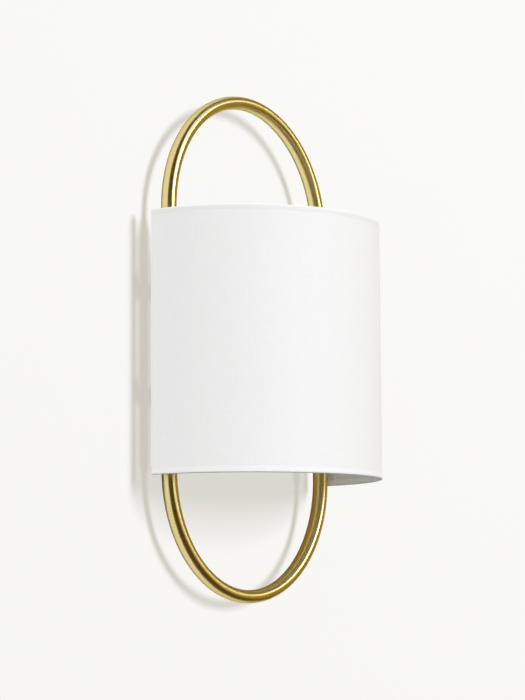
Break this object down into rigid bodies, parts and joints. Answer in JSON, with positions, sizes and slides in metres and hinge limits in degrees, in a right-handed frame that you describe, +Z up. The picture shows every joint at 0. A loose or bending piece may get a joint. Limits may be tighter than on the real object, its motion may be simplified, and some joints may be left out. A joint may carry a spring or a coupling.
{
  "type": "fabric shade wall light",
  "caption": "Wall light with a pill-shaped brass loop, a white half-drum fabric shade in front of it and an upright lampholder on a bent arm.",
  "frame": {"origin": "wall face at the middle of the fixing strap's two slots, level with the middle of the loop", "axes": "+Z up, +Y into the wall, +X to the right of someone facing the light; the light stands out towards -Y"},
  "size_m": [0.2472, 0.1416, 0.45],
  "materials": {
    "brass": "satin polished",
    "zinc_steel": "zinc plated",
    "contact_brass": "bright stamped",
    "white_cloth": "plain weave",
    "white_liner": "smooth matte",
    "white_wire": "white enamel",
    "white_plastic": "moulded gloss",
    "carrier_ceramic": "unglazed",
    "nylon": "moulded nylon",
    "brown_insulation": "extruded",
    "blue_insulation": "extruded",
    "green_insulation": "extruded, yellow stripe",
    "nickel": "nickel plated",
    "black_glass": "fused black glass",
    "clear_glass": "clear",
    "phosphor": "coated rod"
  },
  "bodies": {
    "wall_frame": {"loop_frame": "brass", "back_plate": "brass", "upper_crossbar": "brass", "lower_crossbar": "brass", "lamp_arm": "brass", "arm_collar": "brass", "cap_nuts": "brass", "cap_nut_washers": "brass", "wall_strap": "zinc_steel", "strap_studs": "zinc_steel", "strap_nuts": "zinc_steel", "crossbar_nuts": "zinc_steel", "crossbar_screws": "zinc_steel", "loop_screws": "zinc_steel", "arm_lock_washer": "zinc_steel", "arm_lock_nut": "zinc_steel", "earth_stud": "zinc_steel", "earth_nut": "zinc_steel", "holder_grub_screw": "zinc_steel", "terminal_block_screw": "zinc_steel", "terminal_clamps": "contact_brass", "terminal_screws": "contact_brass", "holder_terminal_screws": "contact_brass", "holder_screw_shell": "contact_brass", "holder_centre_contact": "contact_brass", "earth_tag": "contact_brass", "holder_cap": "white_plastic", "holder_skirt": "white_plastic", "arm_end_bush": "white_plastic", "holder_contact_carrier": "carrier_ceramic", "terminal_block": "nylon", "live_lead": "brown_insulation", "neutral_lead": "blue_insulation", "earth_lead": "green_insulation"},
    "bulb_foot": {"bulb_centre_contact": "nickel"},
    "bulb": {"bulb_insulator": "black_glass", "bulb_cap": "nickel", "bulb_glass": "clear_glass", "bulb_stem": "clear_glass", "bulb_filaments": "phosphor", "bulb_support_wires": "nickel"},
    "shade": {"shade_cover": "white_cloth", "shade_liner": "white_liner", "top_hem": "white_cloth", "bottom_hem": "white_cloth", "top_ring_wire": "white_wire", "bottom_ring_wire": "white_wire", "right_end_upright": "white_wire", "left_end_upright": "white_wire", "right_end_fold": "white_cloth", "left_end_fold": "white_cloth", "shade_hooks": "zinc_steel"}
  },
  "joints": [
    {"name": "bulb_travel", "type": "slide", "parent": "wall_frame", "child": "bulb_foot", "axis": [0, 0, 1], "range_m": [0, 0.0169]},
    {"name": "bulb_turn", "type": "hinge", "parent": "bulb_foot", "child": "bulb", "pos_m": [0, -0.076, 0], "axis": [0, 0, 1], "range_deg": [0, 2160]},
    {"name": "shade_lift", "type": "slide", "parent": "wall_frame", "child": "shade", "axis": [0, 0, 1], "range_m": [0, 0.02]}
  ],
  "couplings": [
    {"joint": "bulb_turn", "follows": "bulb_travel", "rad_per_m": 2228.1}
  ]
}
